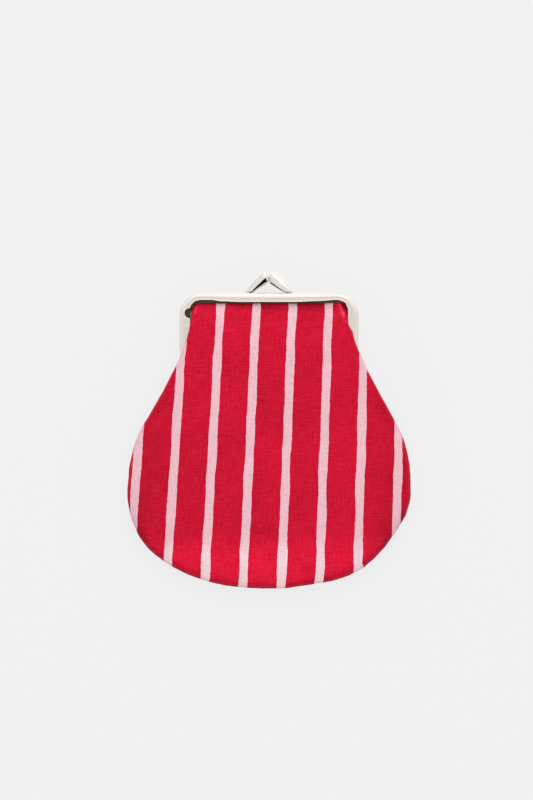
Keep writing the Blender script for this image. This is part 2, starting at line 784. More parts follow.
def rise_share(y):
    """0 where the cloth is in the top of the frame, 1 where it has come out over the legs."""
    return ramp(CHANNEL_LIP, EAR_FOLD_Y, y)


def fold_radius(y):
    return mix(FOLD_RADIUS, EDGE_RADIUS, pouch_share(y))


def under_level(y):
    return mix(UNDER_LEVEL, SEAM_LEVEL, pouch_share(y))


def inner_width(y):
    """Half the width of the outer panel's face, inside its rounded edge."""
    framed = gripped_width(y, GRIP) - GRIP - GAP - FOLD_RADIUS - CLOTH / 2
    if y >= EAR_FOLD_Y:
        return framed
    if y < FOLD_OUT_Y:
        return silhouette(y) - fold_radius(y) - CLOTH / 2
    low = silhouette(FOLD_OUT_Y) - fold_radius(y) - CLOTH / 2
    return mix(low, framed, span(FOLD_OUT_Y, EAR_FOLD_Y, y))


def seam_width(y):
    """Half the distance between the side seams, which run out from the hinges to the edge of the bag."""
    inset = EDGE_INSET + SEAM_ALLOWANCE
    if y <= SEAM_JOIN_Y:
        return silhouette(y) - inset
    share = min(span(SEAM_JOIN_Y, SEAM_START_Y, y), 1.0)
    return mix(silhouette(SEAM_JOIN_Y) - inset, SEAM_START_WIDTH / 2, share)


def edge_distance(x, y):
    """Roughly how far a point of a panel's face is from the face's edge."""
    if y >= WIDEST_Y:
        return max(inner_width(y) - abs(x), 0.0)
    wide, high = HALF_WIDTH - EDGE_INSET, BOTTOM_DEPTH - EDGE_INSET
    reach = math.hypot(x, y - WIDEST_Y)
    size = ((abs(x) / wide) ** BOTTOM_POWER + ((WIDEST_Y - y) / high) ** BOTTOM_POWER) ** (1.0 / BOTTOM_POWER)
    return max(reach / size - reach, 0.0) if size > 0.0 else wide


def around_bag(x, y):
    """The distance round the bag's edge from the middle of its bottom, in metres."""
    if y >= WIDEST_Y:
        return math.copysign(math.pi / 2 * ROUND_RADIUS + y - WIDEST_Y, x)
    return math.atan2(x, WIDEST_Y - y) * ROUND_RADIUS


def creases(x, y, side, sizes):
    """How far the cloth stands out from its even shape: slack, pulls from the hinges, flutes and puckers."""
    edge = edge_distance(x, y)
    slack = rough(x / (31.0 * MM), y / (42.0 * MM), 4.3 * side)
    slack += 0.35 * rough(x / (12.0 * MM), y / (16.0 * MM), 9.1 * side)
    pulls = 0.0
    for hand in (-1.0, 1.0):
        across, down = x - hand * PULL_X, PULL_Y - y
        reach = math.hypot(across, down)
        turn = math.atan2(-hand * across, down)
        wave = math.cos(8.0 * turn + 1.3 * hand + 2.0 * rough(reach / (20.0 * MM), hand, side))
        pulls += wave * bell(reach, 19.0 * MM) * smooth(reach / (7.0 * MM))
    hang = (TOP_LIP - y) / (12.0 * MM)
    swing = 3.0 * rough(x / (14.0 * MM), 0.3, side)
    flutes = math.sin(x / (1.75 * MM) + swing) * hang * math.exp(-hang)
    puckers = rough(around_bag(x, y) / (3.1 * MM), 0.7, side * 3.0) * math.exp(-edge / (3.4 * MM))
    shown = ramp(TOP_LIP - 1.5 * MM, TOP_LIP - 9.0 * MM, y) * smooth(edge / (7.0 * MM))
    height = sizes.crease_height * shown * (slack + 0.6 * pulls + 0.3 * flutes)
    return height + sizes.pucker_height * sewn_share(y) * puckers


def face_height(x, y, side, sizes):
    """The level of a panel's face. Only the front one is crowned, and the rear one's creases go inwards."""
    low = under_level(y) + 2 * fold_radius(y)
    rounded = 1.0 - (1.0 - min(edge_distance(x, y) / EDGE_ROUNDING, 1.0)) ** 2.4
    crown = CROWN * ramp(TOP_LIP, mix(TOP_LIP, BAG_BOTTOM, 0.35), y) if side > 0 else 0.0
    height = mix(CLOTH_LEVEL, mix(low, PANEL_LEVEL + crown * rounded, rounded), rise_share(y))
    crease = creases(x, y, side, sizes)
    return height + (crease if side > 0 else min(crease - 0.1 * MM, 0.0))


def edge_shift(x, y):
    """How unevenly the seam line runs, outwards."""
    place = around_bag(x, y)
    even = rough(place / (7.0 * MM), 2.2, 0.0) + 0.5 * rough(place / (2.6 * MM), 5.1, 0.0)
    return 0.22 * MM * sewn_share(y) * even


def on_grain(x, y):
    """The place on the flat cloth, whose grain leans a little and which is gathered into the frame."""
    return (x - GRAIN_LEAN * y) / (1.0 - GATHER * y), y


def eased_out(point):
    """A point moved to where the hand-sewn bag has it. The bottom hangs lower, with a dent on the right."""
    share = min(abs(point.x) / max(silhouette(point.y), 20.0 * MM), 1.0)
    held = ramp(SEAM_START_Y - 3.0 * MM, HINGE_Y, point.y) * ramp(UNDER_LEVEL, FACE_LEVEL, point.z)
    shift = looked_up(EASE, point.y / MM, 1 if point.x < 0 else 2) * MM * share * share * (1.0 - held)
    drop = 0.35 * MM * ramp(-56.0 * MM, -68.0 * MM, point.y)
    drop *= 1.0 - 1.2 * bell(point.x - 19.0 * MM, 9.0 * MM)
    return Vector((point.x + math.copysign(1.0, point.x) * shift, point.y - drop, point.z))


# The outer cloth


def bottom_corner():
    """The end of the lowest row of a panel's face."""
    y = mix(WIDEST_Y, BAG_BOTTOM + EDGE_INSET, 0.45)
    return bottom_width(y, EDGE_INSET), y


def row_rise(share):
    """How far a lower row has come up from its middle to its end, at a share of its half width."""
    corner = bottom_corner()
    return span(bottom_height(0.0, EDGE_INSET), corner[1], bottom_height(share * corner[0], EDGE_INSET))


def cloth_levels():
    """The heights of the straight rows, from the edge in the channel to the top of the pouch."""
    stops = (TOP_LIP + GRIP, CHANNEL_LIP, EAR_FOLD_Y, FOLD_OUT_Y, HINGE_Y, SEAM_START_Y, POUCH_TOP)
    levels = [stops[0]]
    for high, low, count in zip(stops, stops[1:], CLOTH_ROWS):
        levels += steps(high, low, count)
    return levels


def row_heights(levels, corner_y, bottom, count):
    """The heights of each row's ends and of its middle, which part below the top of the pouch."""
    return [(y, y) for y in levels] + line((POUCH_TOP, POUCH_TOP), (corner_y, bottom), count)


def cloth_rows(side, sizes):
    """The face of an outer panel as rows of points (across, up, level)."""
    rows = []
    heights = row_heights(cloth_levels(), bottom_corner()[1], bottom_height(0.0, EDGE_INSET), CLOTH_LOW_ROWS)
    for end_y, centre_y in heights:
        width = inner_width(end_y) if end_y > WIDEST_Y else bottom_width(end_y, EDGE_INSET)
        row = []
        for i in range(CLOTH_COLUMNS + 1):
            share = 2.0 * i / CLOTH_COLUMNS - 1.0
            share = math.copysign(1.0 - (1.0 - abs(share)) ** 1.12, share)
            x, y = share * width, mix(centre_y, end_y, row_rise(share))
            row.append(Vector((x, y, face_height(x, y, side, sizes))))
        rows.append(row)
    return rows


def outward(point):
    """The way out of the bag in the plane of the seam."""
    if point.y >= WIDEST_Y:
        return Vector((math.copysign(1.0, point.x), 0.0, 0.0))
    power = BOTTOM_POWER - 1.0
    across = math.copysign((abs(point.x) / HALF_WIDTH) ** power / HALF_WIDTH, point.x)
    down = -(((WIDEST_Y - point.y) / BOTTOM_DEPTH) ** power) / BOTTOM_DEPTH
    return Vector((across, down, 0.0)).normalized()


def arc(across, up, radius, start, end, count):
    """Points on a round turn about a centre, in degrees, the start left out."""
    turns = [math.radians(turn) for turn in steps(start, end, count)]
    return [(across + radius * math.cos(turn), up + radius * math.sin(turn)) for turn in turns]


def line(start, end, count):
    return [between(start, end, share) for share in steps(0.0, 1.0, count)]


def mixed(low, high, share):
    return [between(a, b, share) for a, b in zip(low, high)]


def folded_edge(y):
    """The cloth's round edge as (outwards from the face, level)."""
    radius = fold_radius(y)
    return arc(0.0, under_level(y) + radius, radius, 90.0, -90.0, 9)


def dropped_edge(y, height):
    """Inside the lip the cloth only slopes down from its face into the channel."""
    face, grip = inner_width(y), gripped_width(y, GRIP)
    near, far = (mix(face, grip, share) for share in (0.3, 0.9))
    end = min(max(gripped_width(y, -GAP - CLOTH / 2) + LIP_TURN, near), far)
    slope = [((end - face) * share, mix(height, CLOTH_LEVEL, smooth(share))) for share in steps(0.0, 1.0, 23)]
    return slope + line((end - face, CLOTH_LEVEL), (grip - face, CLOTH_LEVEL), 3)


def wrapped_edge(y):
    """Over a leg the cloth comes back under its fold, down inside the lip and out into the channel."""
    face, under = inner_width(y), under_level(y)
    turn = LIP_TURN
    column = min(LEG_LIP - GAP - CLOTH / 2, face - 2 * turn) - face
    grip = (gripped_width(y, GRIP) - face, CLOTH_LEVEL)
    points = folded_edge(y) + line((0.0, under), (column + turn, under), 7)
    points += arc(column + turn, under - turn, turn, 90.0, 180.0, 3)
    points += line((column, under - turn), (column, CLOTH_LEVEL + turn), 1)
    points += arc(column + turn, CLOTH_LEVEL + turn, turn, 180.0, 270.0, 3)
    return points + line((column + turn, CLOTH_LEVEL), grip, 3)


def sewn_edge(y):
    """Below the legs the cloth comes back under its fold to the seam."""
    back = seam_width(y) - inner_width(y) if y >= WIDEST_Y else -SEAM_ALLOWANCE
    level = mix(UNDER_LEVEL, SEAM_LEVEL, seam_share(y))
    return folded_edge(y) + line((0.0, under_level(y)), (back, level), 17)


def edge_profile(y, height):
    """The cloth beyond the face at this height, as (outwards from the face, level)."""
    if y >= EAR_FOLD_Y:
        return dropped_edge(y, height)
    if y > FOLD_OUT_Y:
        return mixed(wrapped_edge(y), dropped_edge(y, height), ramp(FOLD_OUT_Y, EAR_FOLD_Y, y))
    if y >= HINGE_Y:
        return wrapped_edge(y)
    if y > SEAM_START_Y:
        return mixed(sewn_edge(y), wrapped_edge(y), ramp(SEAM_START_Y, HINGE_Y, y))
    return sewn_edge(y)


def rim(point):
    """The cloth beyond the face: its places and how far each lies from the face."""
    out = outward(point)
    foot = Vector((point.x, point.y, 0.0)) + out * edge_shift(point.x, point.y)
    low = under_level(point.y) + 2 * fold_radius(point.y)
    lift = point.z - low if point.y < EAR_FOLD_Y else 0.0
    last, distance, strip = (0.0, point.z), 0.0, []
    for step, level in edge_profile(point.y, point.z):
        distance += math.hypot(step - last[0], level - last[1])
        last = (step, level)
        fade = max(1.0 - distance / (3.0 * EDGE_RADIUS), 0.0)
        strip.append((foot + out * step + Vector((0.0, 0.0, level + lift * fade)), distance))
    return strip


def shaded(point):
    """How soiled the face is: under the lip, beside the legs, at the bottom edge and in the dip beyond the
    folds that stand out at the upper corners. It is pale, below 0, along those folds."""
    wide, left = abs(point.x), point.x < 0
    under_lip = max(lip_height(point.x) - point.y, 0.0)
    deep = ramp(-10.0 * MM, -4.0 * MM, point.x)
    lip = mix(1.0, 1.7, deep) * math.exp(-under_lip / mix(1.8 * MM, 2.9 * MM, deep))
    lip = min(lip, 0.6) * (1.0 - 0.75 * ramp(28.0 * MM, 31.0 * MM, wide))
    beyond = wide - (32.6 if left else 32.2) * MM - 0.35 * (55.8 * MM - point.y)
    folded = ramp(46.5 * MM, 49.0 * MM, point.y)
    dip = folded * smooth(beyond / (0.6 * MM) + 0.6)
    uneven = 0.75 + 0.7 * rough(point.x / (1.7 * MM), point.y / (2.1 * MM), 3.3)
    fold = folded * uneven * bell(beyond + 0.8 * MM, (0.85 if left else 1.2) * MM)
    beside = bell(max(inner_width(point.y) - wide, 0.0), 0.7 * MM)
    beside *= 0.35 * ramp(FOLD_OUT_Y, EAR_FOLD_Y, point.y)
    bottom = ramp(-20.0 * MM, -45.0 * MM, point.y) * math.exp(-edge_distance(point.x, point.y) / (1.2 * MM))
    return max(lip, dip, beside, 0.7 * bottom) - 0.45 * fold


def cloth_mesh(name, side, points, faces, look, flat, marks, thickness):
    """A sheet of cloth from points (across, up, level)."""
    placed = [Vector((p.x, p.y, MID_LEVEL + side * p.z)) for p in points]
    made = out_facing(add_mesh(name, placed, faces, look, flat, marks, CLOTH_SHARP))
    thicken(made, thickness)
    return made


def outer_panel(name, side, look, sizes):
    """One whole outer cloth, from its edge in the channel round the bottom to its seam."""
    rows = cloth_rows(side, sizes)
    last, columns = len(rows) - 1, CLOTH_COLUMNS
    points, flat, soil, numbers, strips = [], [], [], [], []
    for row in rows:
        numbers.append(range(len(points), len(points) + len(row)))
        for point in row:
            points.append(eased_out(point))
            flat.append(on_grain(points[-1].x, point.y))
            soil.append(shaded(point))
    wear = [0.0] * len(points)
    chain = [(i, 0) for i in range(last + 1)] + [(last, i) for i in range(1, columns)]
    chain += [(i, columns) for i in range(last, -1, -1)]
    for row, column in chain:
        start, strip = rows[row][column], [numbers[row][column]]
        out, at, shade = outward(start), points[strip[0]], soil[strip[0]]
        below = mix(0.1, 0.65, smooth(-out.y * 1.6))
        for place, distance in rim(start):
            strip.append(len(points))
            points.append(eased_out(place))
            flat.append(on_grain(at.x + out.x * distance, at.y + out.y * distance))
            crest = bell(distance - 0.6 * EDGE_RADIUS, 0.9 * EDGE_RADIUS)
            wear.append(crest if start.y < EAR_FOLD_Y else 0.0)
            in_frame = ramp(FOLD_OUT_Y, EAR_FOLD_Y, start.y) * smooth(distance / (2.4 * MM))
            soil.append(max(in_frame, min(shade + below * smooth(distance / (2.5 * EDGE_RADIUS)), 1.0)))
        strips.append(strip)
    faces = grid_faces(numbers) + grid_faces(list(zip(*strips)))
    return cloth_mesh(name, side, points, faces, look, flat, {"wear": wear, "soil": soil}, CLOTH)


# The lining


def lining_width(y):
    if y >= SEAM_START_Y:
        return gripped_width(y, LINING_GRIP)
    inset = seam_width(y) - GAP - LINING
    return mix(min(gripped_width(y, LINING_GRIP), inset), inset, seam_share(y))


def lining_panel(name, side, look, sizes):
    """One whole lining, from its edge in the channel to the bottom of the pouch."""
    inset = EDGE_INSET + SEAM_ALLOWANCE + GAP + LINING
    bottom, wide, deep = BAG_BOTTOM + inset, HALF_WIDTH - inset, BOTTOM_DEPTH - inset
    top = TOP_LIP + LINING_GRIP
    levels = [top] + [y for y in cloth_levels() if y < top - 0.2 * MM]
    shares = [1.0 - (1.0 - i / LINING_HALF_COLUMNS) ** 1.25 for i in range(LINING_HALF_COLUMNS + 1)]
    points, wear, rows = [], [], []
    for end_y, centre_y in row_heights(levels, mix(WIDEST_Y, bottom, 0.45), bottom, LINING_LOW_ROWS):
        width = lining_width(end_y) if end_y > WIDEST_Y else bottom_width(end_y, inset)
        free = width - mix(LINING_INSET, 3 * LINING, seam_share(end_y))
        half = [free * share for share in shares] + steps(free, width, LINING_BORDER)
        rows.append(range(len(points), len(points) + 2 * len(half) - 1))
        for x in [-x for x in reversed(half[1:])] + half:
            y = mix(centre_y, end_y, row_rise(x / width))
            full = face_height(x, y, side, sizes) - LINING_STEP
            if centre_y <= bottom:
                level = LINING_SEAM_LEVEL
            elif y < WIDEST_Y and end_y < POUCH_TOP:
                size = (abs(x) / wide) ** 2 + ((WIDEST_Y - y) / deep) ** 2
                rounded = math.sqrt(max(1.0 - size**3, 0.0))
                level = mix(LINING_SEAM_LEVEL, max(full, LINING_SEAM_LEVEL), rounded)
            else:
                edge = mix(LINING_LEVEL, LINING_SEAM_LEVEL, seam_share(y))
                level = mix(edge, max(full, edge), math.sqrt(1.0 - min(abs(x) / free, 1.0) ** 6))
            points.append(Vector((x, y, level)))
            wear.append(ramp(FOLD_OUT_Y, TOP_LIP, y) * 0.8)
    flat = [(point.x, point.y) for point in points]
    points = [eased_out(point) for point in points]
    return cloth_mesh(name, side, points, grid_faces(rows), look, flat, {"wear": wear}, LINING)


# The frame


def channel_section(face, full, press=0.0):
    """The channel's outline as (inwards from the outer edge, away from the other half). face is the width of
    the face, full its width without the notch, and press how far a crimp pushes in its outer part."""
    mating, flat_end = face - MATING_STEP, face - LIP_ROUND
    bend = min(FACE_BEND_ACROSS, 0.6 * full, flat_end)
    points = [(mating, 0.0)]
    points += [(MATING_BEND * (1 - sine), MATING_BEND * (1 - cosine)) for sine, cosine in quarter(4)]
    for sine, cosine in quarter(8):
        points.append((bend * (1 - cosine), HALF_DEPTH - FACE_BEND * (1 - sine) - press * sine**4))
    for share in steps(0.0, 1.0, 6)[:-1]:
        bead = FACE_BEAD * math.sin(math.pi * share)
        points.append((mix(bend, max(flat_end, bend), share), HALF_DEPTH - bead - press * (1.0 - share) ** 2))
    for sine, cosine in quarter(3):
        points.append((flat_end + LIP_ROUND * sine, HALF_DEPTH - LIP_ROUND * (1 - cosine)))
    points += [(face, HALF_DEPTH - SHEET + LIP_CHAMFER), (face - LIP_CHAMFER, HALF_DEPTH - SHEET)]
    for sine, cosine in quarter(4):
        across = SHEET + (bend - SHEET) * (1 - sine)
        points.append((min(across, face - 0.1 * MM), HALF_DEPTH - SHEET - (FACE_BEND - SHEET) * (1 - cosine)))
    return points + [(SHEET, SHEET), (mating, SHEET), (mating + 0.05 * MM, SHEET / 2)]


def path_stations(leg_end, fine):
    """Places on the outer edge: point, inward way, share of the turn to the top, distance, whole length."""
    leg = CORNER_Y - leg_end
    turn_length = FRAME_CORNER_RADIUS * math.pi / 2
    total = 2 * leg + 2 * turn_length + 2 * CORNER_X
    distances, at = [0.0], 0.0
    notch_at = leg + 1.2 * MM
    while at < total:
        near_notch = abs(at - notch_at) < NOTCH_RADIUS * 2.4
        in_corner = leg < at < leg + turn_length or total - leg - turn_length < at < total - leg
        at += NOTCH_STEP if near_notch and fine else CORNER_STEP if in_corner else STATION_STEP
        distances.append(min(at, total))
    stations = []
    for at in distances:
        side = -1.0 if at <= total / 2 else 1.0
        near = at if side < 0 else total - at
        turn = min(max((near - leg) / FRAME_CORNER_RADIUS, 0.0), math.pi / 2)
        cosine, sine = math.cos(turn), math.sin(turn)
        if near <= leg:
            place = (side * LEG_OUTSIDE, leg_end + near)
        elif near <= leg + turn_length:
            place = (side * (CORNER_X + FRAME_CORNER_RADIUS * cosine), CORNER_Y + FRAME_CORNER_RADIUS * sine)
        else:
            place = (side * (CORNER_X - (near - leg - turn_length)), FRAME_TOP)
        stations.append((place, (-side * cosine, -sine), turn / (math.pi / 2), at, total))
    return stations


def notched_face(place, inward, face):
    """The width of the face here, less where the round notch is cut from the left lip."""
    offset = (place[0] - NOTCH_CENTRE[0], place[1] - NOTCH_CENTRE[1])
    along = -(offset[0] * inward[0] + offset[1] * inward[1])
    square = offset[0] ** 2 + offset[1] ** 2 - along**2
    if square >= NOTCH_RADIUS**2:
        return face
    return min(face, along - math.sqrt(NOTCH_RADIUS**2 - square))


def crimp(turn, place):
    """Pressed folds across the corners, where the sheet was gathered as the channel was bent."""
    if not 0.04 < turn < 0.96:
        return 0.0
    strength = 1.0 if place[0] < 0 else 0.5
    fold = math.sin(turn * math.pi * 17.0 + 1.4 * rough(turn * 9.0, strength, 0.0))
    return CRIMP_DEPTH * strength * max(fold, 0.0) * math.sin(turn * math.pi)


def lip_height(x):
    """The height of the front lip across the top of the purse."""
    leg = CORNER_Y - LEG_END + FRAME_CORNER_RADIUS * math.pi / 2
    total = 2 * leg + 2 * CORNER_X
    place = min(max(x, -CORNER_X), CORNER_X)
    drop = max(abs(x) - CORNER_X, 0.0)
    return FRAME_TOP - looked_up(FACE_WIDTHS, (leg + CORNER_X + place) / total) * MM - drop


def channel(side):
    """One half's swept channel as points, faces, flat map and wear. The front one is notched."""
    points, flat, wear = [], [], []
    stations = path_stations(LEG_END, side > 0)
    for place, inward, turn, at, total in stations:
        full = looked_up(FACE_WIDTHS, at / total) * MM
        face = notched_face(place, inward, full) if side > 0 else full
        section = channel_section(face, full, crimp(turn, place))
        distance, last = 0.0, section[0]
        for across, away in section:
            distance += math.hypot(across - last[0], away - last[1])
            last = (across, away)
            x, y = place[0] + inward[0] * across, place[1] + inward[1] * across
            points.append(Vector((x, y, MID_LEVEL + side * (HALF_START + away))))
            flat.append((at, distance))
            near_lip = bell(across - face, 0.5 * MM) if away > HALF_DEPTH - SHEET else 0.0
            near_bend = bell(across - 0.4 * MM, 0.5 * MM) if away > HALF_DEPTH / 2 else 0.0
            wear.append(max(near_lip, near_bend))
    return points, tube_faces(len(stations), len(section)), flat, wear


def ear(hand, side):
    """A hinge ear, pressed from the leg's side wall. The rear ears step inwards past the front ones."""
    inset = 0.0 if side > 0 else SHEET + GAP
    wall = Vector((hand * (SHEET - 0.08 * MM), 0.0, 0.0))
    neck_top = LEG_END + EAR_NECK
    low, high = HALF_START + MATING_BEND, HALF_START + HALF_DEPTH - FACE_BEND
    heights = {neck_top - 0.4 * MM * i for i in range(5)}
    heights |= {HINGE_Y + EAR_RADIUS * math.cos(math.pi * i / 22) for i in range(1, 23)}
    points = []
    for y in sorted(heights, reverse=True):
        half = math.sqrt(max(EAR_RADIUS**2 - (y - HINGE_Y) ** 2, 0.0))
        start, end = (-half, half) if y < HINGE_Y + EAR_RADIUS else (low, high)
        if y > HINGE_Y + 0.5 * EAR_RADIUS:
            start, end = min(start, low), max(end, high)
            start = low if y >= LEG_END else start
        x = hand * (LEG_OUTSIDE - 0.04 * MM - inset * ramp(neck_top - 0.3 * MM, LEG_END - 0.6 * MM, y))
        outer = [Vector((x, y, MID_LEVEL + side * mix(start, end, i / 6))) for i in range(7)]
        points += outer + [point - wall for point in reversed(outer)]
    return points, tube_faces(len(heights), 14)


def frame_half(name, side, look):
    """One half of the frame: its channel and two hinge ears in one mesh."""
    points, faces, flat, wear = channel(side)
    for hand in (-1.0, 1.0):
        more, quads = ear(hand, side)
        faces += [[i + len(points) for i in quad] for quad in quads]
        flat += [(point.y, point.z) for point in more]
        wear += [0.3] * len(more)
        points += more
    return out_facing(add_mesh(name, points, faces, look, flat, {"wear": wear}, FRAME_SHARP))


# The clasp


def claw_stations(side):
    """Places on a claw's middle line: distance, centre, way to the upper edge, radius, slot's share."""
    outline = [CLAW_OUTLINE[0]]
    for low, high in zip(CLAW_OUTLINE, CLAW_OUTLINE[1:]):
        outline += line(low, high, 12 if low in CLAW_OUTLINE[1:3] else 2)
    stations, distance, last, way = [], 0.0, None, None
    for upper_x, upper_y, lower_x, lower_y, slot in outline:
        upper = Vector((side * upper_x * MM, FRAME_TOP + upper_y * MM, 0.0))
        lower = Vector((side * lower_x * MM, FRAME_TOP + lower_y * MM, 0.0))
        centre, radius = (upper + lower) / 2, (upper - lower).length / 2
        way = (upper - lower).normalized() if radius > 0.1 * MM else way
        distance += (centre - last).length if last else 0.0
        last = centre
        stations.append((distance, centre, way, radius, slot))
    return stations


def claw(name, side, look):
    """A horn of bent sheet whose end is upright, so that the two ends face each other. Its edges don't quite
    meet: the slot between them widens from the foot to the end."""
    stud_level = HALF_START + STUD_LEVEL
    slot_turn, least, most = (math.radians(turn) for turn in CLAW_SLOTS[side])
    stations = claw_stations(side)
    whole = stations[-1][0]
    points, flat, wear, rows = [], [], [], []
    for distance, centre, way, radius, slot in stations:
        rows.append(range(len(points), len(points) + CLAW_AROUND + 1))
        half_open = mix(least, most, distance / whole) if slot > 0.99 else 0.002
        level = MID_LEVEL + side * mix(stud_level, 0.0, smooth(distance / whole))
        for i in range(CLAW_AROUND + 1):
            turn = slot_turn + mix(half_open, 2 * math.pi - half_open, i / CLAW_AROUND)
            place = centre + way * (radius * math.sin(turn))
            points.append(Vector((place.x, place.y, level + radius * math.cos(turn))))
            flat.append((distance, turn * 2.5 * MM))
            wear.append(ramp(0.7, 1.0, distance / whole) * 0.6)
    middle = stations[12][1] + Vector((0.0, 0.0, MID_LEVEL + side * stud_level * 0.3))
    along = (stations[12][1] - stations[0][1]).normalized()
    made = add_mesh(name, points, grid_faces(rows), look, flat, {"wear": wear}, CLAW_SHARP)
    with editing(made.data) as bm:
        bmesh.ops.remove_doubles(bm, verts=bm.verts, dist=CLAW_WELD)
        bmesh.ops.recalc_face_normals(bm, faces=bm.faces)
        probe = min(bm.faces, key=lambda face: (face.calc_center_median() - middle).length)
        if probe.normal.dot(probe.calc_center_median() - middle) < 0:
            bmesh.ops.reverse_faces(bm, faces=bm.faces)
    made.data.materials.append(material(bare_inside))
    wall = thicken(made, CLAW_WALL, -1.0)
    wall.material_offset = wall.material_offset_rim = 1
    bevel = made.modifiers.new("edges", "BEVEL")
    bevel.width = CLAW_BEVEL
    bevel.segments = 2
    bevel.limit_method = "ANGLE"
    bevel.angle_limit = math.radians(55.0)
    mesh = evaluated_mesh(made)
    made.modifiers.clear()
    made.data = mesh
    add_collar(mesh, Vector((side * CLAW_REACH, FRAME_TOP, MID_LEVEL + side * stud_level)), along)
    return made


def add_collar(mesh, foot, along):
    """Adds the claw's round foot, with a waisted neck that turns into its horn."""
    points = []
    for rise, share in COLLAR:
        lean = ramp(0.45, 1.5, rise) * 0.75
        way = (Vector((0.0, 1.0, 0.0)) * (1.0 - lean) + along * lean).normalized()
        side_way = way.cross(Vector((0.0, 0.0, 1.0))).normalized()
        other = way.cross(side_way)
        centre = foot + Vector((0.0, rise * CLAW_FOOT_HEIGHT * 1.2, 0.0)) + along * (lean * 0.35 * MM)
        radius = max(share * CLAW_FOOT_RADIUS, 0.01 * MM)
        for i in range(COLLAR_AROUND):
            turn = 2 * math.pi * i / COLLAR_AROUND
            points.append(centre + side_way * (radius * math.cos(turn)) + other * (radius * math.sin(turn)))
    with editing(mesh) as bm:
        verts = [bm.verts.new(point) for point in points]
        faces = tube_faces(len(COLLAR), COLLAR_AROUND)
        added = [bm.faces.new([verts[i] for i in face]) for face in faces]
        bmesh.ops.recalc_face_normals(bm, faces=added)
        layer = bm.loops.layers.uv.get("flat")
        for face in added:
            face.smooth = True
            for loop in face.loops:
                loop[layer].uv = (loop.vert.co.x, loop.vert.co.z)
    mesh.set_sharp_from_angle(angle=math.radians(CLAW_SHARP))


# Pieces made with Geometry Nodes


def shape_tree(name, inputs):
    return new_tree(name, "GeometryNodeTree", {"Geometry": "Geometry", **inputs, "Material": "Material"})


def end_shape(shape, given):
    """Every shape's tree ends in real geometry with its material."""
    real = put(shape.tree, "GeometryNodeRealizeInstances", {0: shape})[0]
    dressed_shape = put(shape.tree, "GeometryNodeSetMaterial", {0: real, "Material": given["Material"]})[0]
    return end_tree(shape.tree, {"Geometry": dressed_shape}, "Geometry")


def guide_curve(tree, given):
    return put(tree, "GeometryNodeMeshToCurve", {0: given["Geometry"]})[0]


def resampled(curve, mode, **inputs):
    return put(curve.tree, "GeometryNodeResampleCurve", {"Curve": curve, **inputs}, mode=mode)[0]


def swept(curve, profile, caps):
    inputs = {"Curve": curve, "Profile Curve": profile, "Fill Caps": caps}
    return put(curve.tree, "GeometryNodeCurveToMesh", inputs)[0]


def ring(tree, resolution, radius):
    return put(tree, "GeometryNodeCurvePrimitiveCircle", {"Resolution": resolution, "Radius": radius})[0]


def stored(shape, name, value):
    inputs = {"Geometry": shape, "Name": name, "Value": value}
    return put(shape.tree, "GeometryNodeStoreNamedAttribute", inputs, data_type="FLOAT", domain="POINT")[0]


def recalled(tree, name):
    return put(tree, "GeometryNodeInputNamedAttribute", {"Name": name}, data_type="FLOAT")[0]


def scaled(vector, scale):
    return put(vector.tree, "ShaderNodeVectorMath", {0: vector, "Scale": scale}, operation="SCALE")[0]


def grown(name, guide, tree, look, crease, place=Matrix(), **values):
    """What a tree makes of a guide line, as a plain mesh in its place, with a flat map and an even wear."""
    line_mesh = bpy.data.meshes.new(f"{name}_guide")
    line_mesh.from_pydata(guide, [(i, i + 1) for i in range(len(guide) - 1)], [])
    maker = add_object(f"{name}_guide", line_mesh)
    step = maker.modifiers.new("shape", "NODES")
    step.node_group = tree
    values["Material"] = look
    for item in tree.interface.items_tree:
        if item.in_out == "INPUT" and item.name in values:
            step[item.identifier] = values[item.name]
    mesh = evaluated_mesh(maker)
    maker.modifiers.remove(step)
    bpy.data.objects.remove(maker)
    if not mesh.polygons:
        raise RuntimeError(f"{name} came out empty")
    with editing(mesh) as bm:
        bmesh.ops.remove_doubles(bm, verts=bm.verts, dist=WELD)
        bmesh.ops.recalc_face_normals(bm, faces=bm.faces)
    mesh.name = name
    mesh.transform(place)
    layer = mesh.uv_layers.new(name="flat")
    for loop in mesh.loops:
        at = mesh.vertices[loop.vertex_index].co
        layer.data[loop.index].uv = (at.x + at.z, at.y)
    mesh.attributes.new("wear", "FLOAT", "POINT").data.foreach_set("value", [0.25] * len(mesh.vertices))
    return dressed(name, mesh, look, crease)


def turned_tree():
    """Sweeps a section round a small ring, as a lathe would turn it."""
    tree, given = shape_tree("turned_rivet", {"Segments": "Int", "Core": "Float"})
    core = ring(tree, given["Segments"], given["Core"])
    return end_shape(swept(core, guide_curve(tree, given), False), given)


def rivet_profile():
    """A hinge rivet's domed head, shank and hammered tail, as (distance along, radius)."""
    head, tail = RIVET_HEAD_HEIGHT, RIVET_TAIL_HEIGHT
    under = head + 2 * (SHEET + RIVET_PLAY) + GAP
    profile = [(0.0, 0.0)]
    for turn in (math.radians(value) for value in (12, 26, 42, 58, 74, 88)):
        profile.append((0.75 * head * (1 - math.cos(turn)), RIVET_HEAD_RADIUS * math.sin(turn)))
    profile += [(head * 0.92, RIVET_HEAD_RADIUS), (head, RIVET_HEAD_RADIUS * 0.95), (head, RIVET_RADIUS)]
    profile += [(under, RIVET_RADIUS), (under, RIVET_TAIL_RADIUS * 0.95)]
    for rise, share in ((0.15, 1.0), (0.6, 0.93), (1.0, 0.55), (0.8, 0.0)):
        profile.append((under + tail * rise, RIVET_TAIL_RADIUS * share))
    return profile


